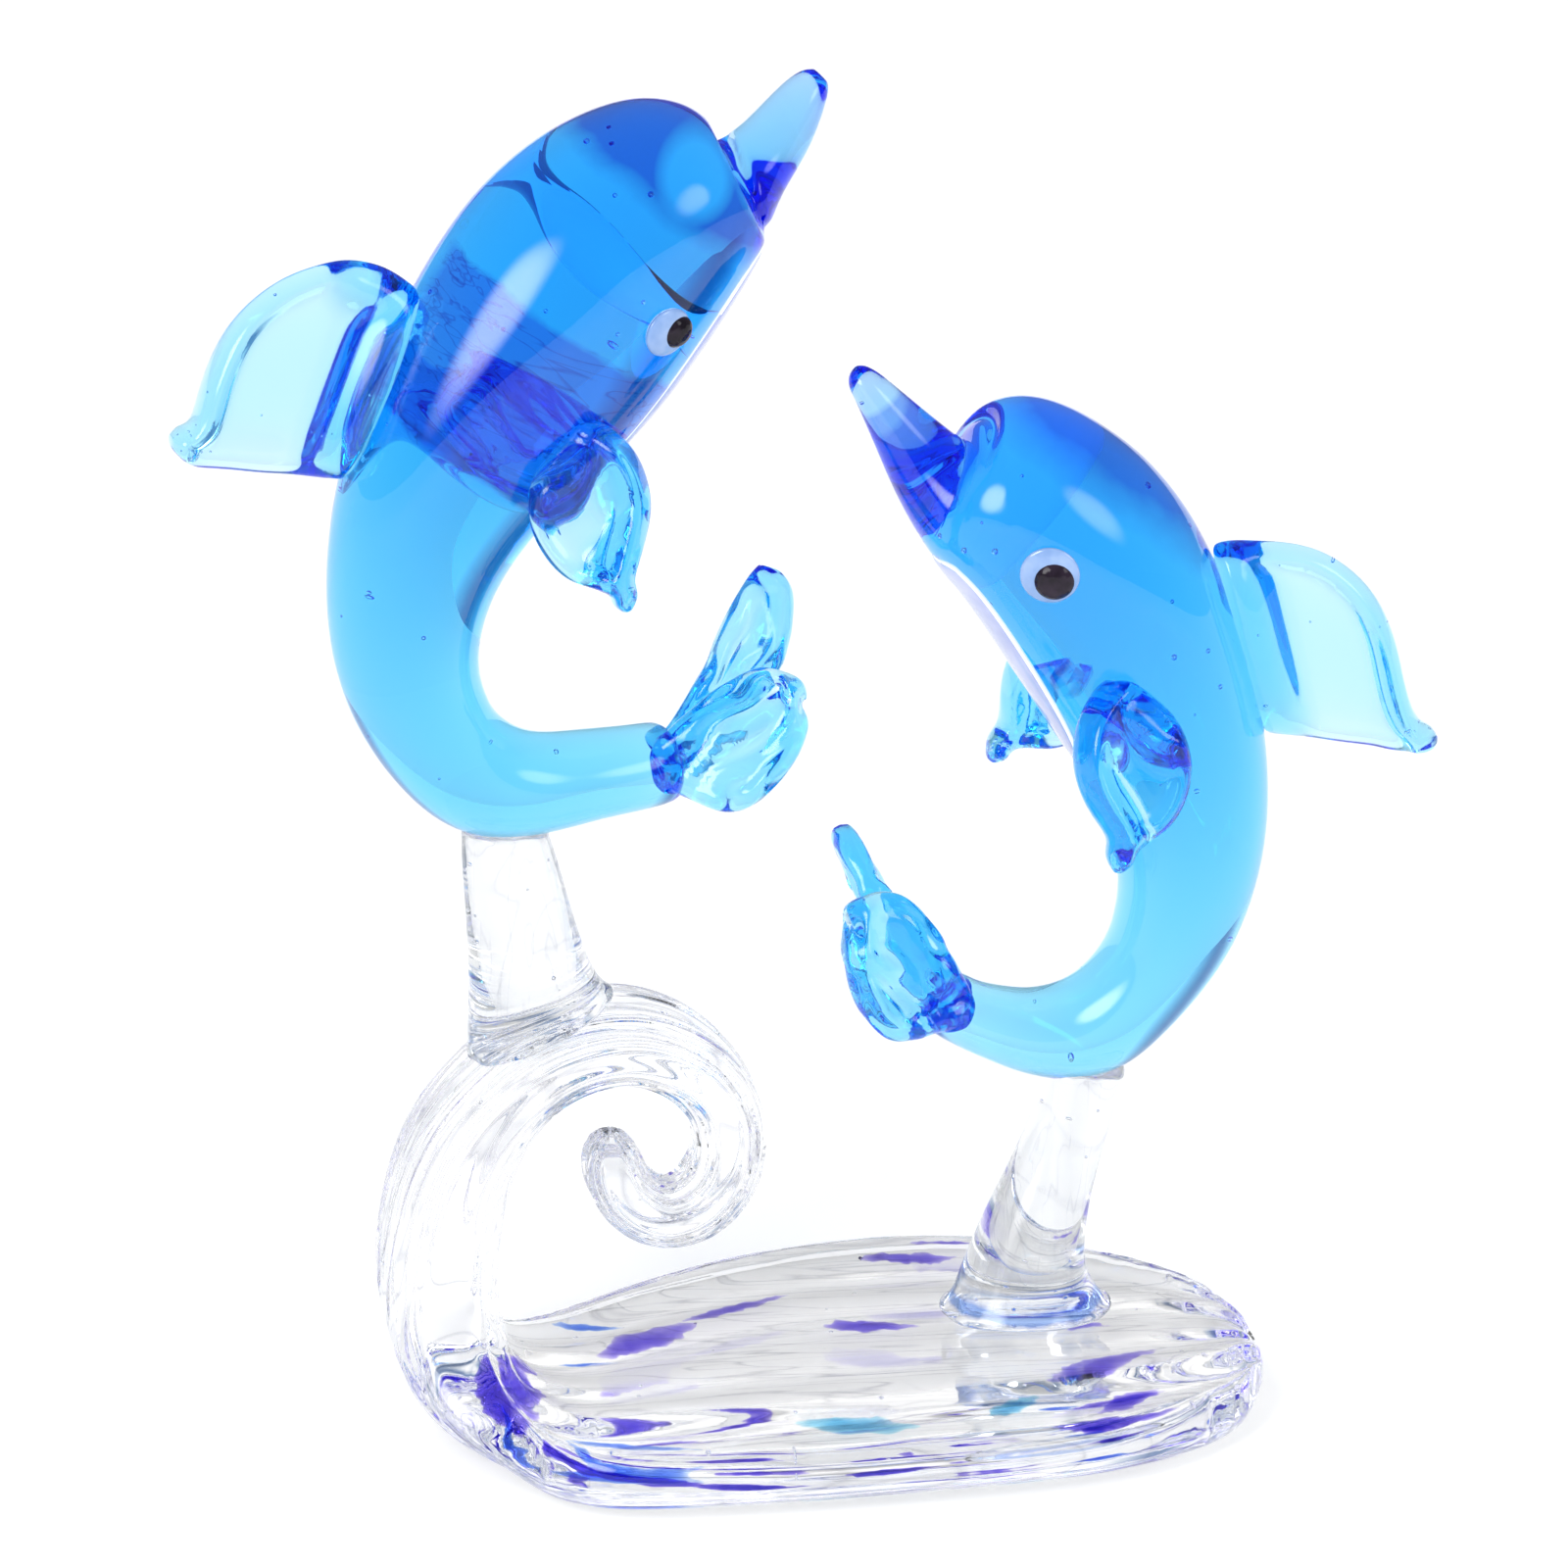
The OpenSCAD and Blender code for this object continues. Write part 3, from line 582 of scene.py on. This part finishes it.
def flukes(who, out, lobes):
    """A rolled outer edge, combed ridges, and notches that part the front fluke's rim into lobes."""
    front, rear = (meshes[f"{who}_dolphin_{side}_fluke"] for side in SIDES)
    for fluke in (front, rear):
        roll_edges(fluke, 0.8, [((0.8 * out, 0, -0.4), 1.0, 0.8, 0.4)])
    ridges(front, (0.7 * out, -0.3, 0.75), 4, 0.26, lobes)
    ridges(rear, (0.6 * out, 0.3, 0.8), 2.5, 0.22)


def dolphin_body(who, out, notch):
    """A crease pinched behind the beak, and bubbles, more of them in the beak."""
    body = meshes[who + "_dolphin_body"]
    beak = farthest(points(body), (out, 0, 0.9))
    crease(body, notch / MM, (0.924 * out, 0, 0.38))
    bubbles(body, (0.08, 0.24), (34, (0.35, 3.2)), (10, (0.15, 1.2), within(beak, 2.6)))


def wave_base():
    """Combed glass, with bubbles that gather at the curl's tip."""
    base = meshes["wave_base"]
    comb(base)
    base_lo, base_hi = (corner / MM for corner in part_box("wave_base"))
    curl_tip = np.array((base_lo.x + 16.915, 0, base_hi.z - 11.185))
    bubbles(base, (0.08, 0.22), (30, (0.4, 2.4)), (26, (0.15, 1.4), within(curl_tip, 2.0, (1, 0.6, 1))))


# The order of these calls sets which random draws each piece gets
for who, out in (("upper", -1), ("lower", 1)):
    dorsal_fin(who, out)
    for side in SIDES:
        flipper(who, side, -out)
flukes("upper", 1, [(0.35, 0.97, 0.9), (0.68, 0.86, 0.8)])
flukes("lower", -1, [(0.5, 0.98, 0.9)])
dolphin_body("upper", 1, from_eye("upper", 6.14, 8.917))
dolphin_body("lower", -1, from_eye("lower", -4.292, 5.758))
for post in ("scroll_post", "base_post"):
    bubbles(meshes[post], (0.07, 0.2), (16, (0.25, 1.6)))
fray(meshes["violet_streaks"], 1.2, 1.0)
fray(meshes["blue_streaks"], 0.9, 0.4)
fray(meshes["turquoise_patch"], 1.6, 1.0)
wave_base()


def piece(node, mesh):
    """Makes the visible piece that stands for a node."""
    skin_gap = 0.00008  # in metres: opal faces lower than this over the body's skin count as inside it
    slot = slots[node]
    mesh.materials.clear()
    mesh.materials.append(piece_mats.get(node) or slot_mats[slot])
    body = body_trees.get(node[:5])
    if slot == "opal_glass" and body is not None:
        mesh.materials.append(inner_opal)
        for poly in mesh.polygons:
            at, nor, _face, _dist = body.find_nearest(poly.center)
            poly.material_index = 1 if (poly.center - at).dot(nor) < skin_gap else 0
    for poly in mesh.polygons:
        poly.use_smooth = True
    obj = bpy.data.objects.new("look_" + node, mesh)
    scene.collection.objects.link(obj)
    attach(obj, "figurine")
    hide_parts(node)


for node, mesh in meshes.items():
    piece(node, mesh)


# ---- Floor ----

HALF_SIDE = 3.0
floor_mesh = bpy.data.meshes.new("floor")
corners = [(-HALF_SIDE, -HALF_SIDE, 0), (HALF_SIDE, -HALF_SIDE, 0), (HALF_SIDE, HALF_SIDE, 0),
           (-HALF_SIDE, HALF_SIDE, 0)]
floor_mesh.from_pydata(corners, [], [(0, 1, 2, 3)])
floor_mesh.materials.append(principled("floor", Base_Color=(0.6, 0.6, 0.6, 1), Roughness=0.9,
                                       Emission_Color=WHITE, Emission_Strength=0.55)[0])
floor = bpy.data.objects.new("floor", floor_mesh)
floor.location.z = -0.1 * MM
scene.collection.objects.link(floor)


# ---- World: pale, with dark upright strips that the glass bends into lines, and two reflected glows ----

world = bpy.data.worlds.new("studio")
scene.world = world
world.use_nodes = True
wt = world.node_tree
wt.nodes.clear()
where = add(wt, "ShaderNodeTexCoord").outputs["Generated"]
path = add(wt, "ShaderNodeLightPath").outputs


def background(colour, strength):
    return add(wt, "ShaderNodeBackground", {"Color": colour, "Strength": strength}).outputs[0]


def mix_shader(mask, off, on):
    return add(wt, "ShaderNodeMixShader", {0: mask, 1: off, 2: on}).outputs[0]


def glow(way, edge, power):
    """A soft-edged patch of light in the world, for reflections. edge is the cosine of its half angle."""
    toward = Vector(way).normalized()
    dot = add(wt, "ShaderNodeVectorMath", {0: where, 1: toward}, operation="DOT_PRODUCT")
    return add(wt, "ShaderNodeMapRange", {"Value": dot.outputs["Value"], "From Min": edge,
                                          "From Max": 1.0, "To Max": power},
               interpolation_type="SMOOTHERSTEP").outputs[0]


def studio_colour():
    """White low down and greyer overhead, with four dark upright strips around."""
    strip_count, strip_turn = 4.0, 1.9
    xyz = add(wt, "ShaderNodeSeparateXYZ", {"Vector": where}).outputs
    high = ramp(wt, xyz["Z"], [(0.0, 1.0), (0.45, 1.0), (0.8, 0.55), (1.0, 0.45)])
    around = calc(wt, "MULTIPLY", calc(wt, "ARCTAN2", xyz["X"], xyz["Y"]), strip_count)
    wave = calc(wt, "COSINE", calc(wt, "ADD", around, strip_turn))
    strips = ramp(wt, wave, [(0.0, 1.0), (0.5, 1.0), (0.85, (0.42, 0.5, 0.64)), (1.0, (0.16, 0.24, 0.42))])
    return add(wt, "ShaderNodeMixRGB", {"Fac": 1.0, "Color1": high, "Color2": strips},
               blend_type="MULTIPLY").outputs[0]


glows = calc(wt, "ADD", glow((-0.75, -0.6, 0.4), 0.93, 9.0), glow((0.6, -0.6, 0.5), 0.955, 4.0))
mirrored = background(WHITE, calc(wt, "ADD", glows, 0.2))
reflected = product(wt, path["Is Glossy Ray"], path["Is Reflection Ray"])
unmirrored = mix_shader(path["Is Camera Ray"], background(studio_colour(), 1.15), background(WHITE, 1.05))
add(wt, "ShaderNodeOutputWorld", {"Surface": mix_shader(reflected, unmirrored, mirrored)})


# ---- Lights and camera ----

centre = (cad_lo + cad_hi) / 2


def seen_from(azimuth, elevation):
    """The direction from the object towards a place: 0 degrees of azimuth is in front of it."""
    a, e = math.radians(azimuth), math.radians(elevation)
    return Vector((math.sin(a) * math.cos(e), -math.cos(a) * math.cos(e), math.sin(e)))


def soft_light(name, towards, distance, size, power):
    """A rectangular light aimed at the object, which reflections don't show."""
    data = bpy.data.lights.new(name, "AREA")
    data.shape = "RECTANGLE"
    data.size, data.size_y = size
    data.energy = power
    obj = bpy.data.objects.new(name, data)
    obj.location = centre + towards * distance
    obj.rotation_euler = towards.to_track_quat("Z", "Y").to_euler()
    obj.visible_glossy = False
    scene.collection.objects.link(obj)


soft_light("key", seen_from(-40, 40), 0.6, (0.16, 0.42), 1.8)
soft_light("fill", seen_from(45, 30), 0.7, (0.12, 0.36), 1.0)

camera_data = bpy.data.cameras.new("camera")
camera_data.sensor_width = 36
camera_data.lens = 212
camera_data.clip_start = 0.01
camera_data.clip_end = 20
camera = bpy.data.objects.new("camera", camera_data)
back = seen_from(-8.5, 20)
distance = 0.65
target = centre + Vector((-1.765, 2.5, -2.35)) * MM
camera.location = target + back * distance
camera.rotation_mode = "QUATERNION"
camera.rotation_quaternion = (-back).to_track_quat("-Z", "Y")
scene.collection.objects.link(camera)
scene.camera = camera

# The clear base is many surfaces deep, so light needs many bounces through it
scene.view_settings.view_transform = "Standard"
scene.cycles.max_bounces = 48
scene.cycles.transmission_bounces = 48
scene.cycles.glossy_bounces = 24
scene.cycles.diffuse_bounces = 3
scene.cycles.volume_bounces = 0
scene.cycles.caustics_reflective = False
scene.cycles.caustics_refractive = True
scene.cycles.sample_clamp_indirect = 4
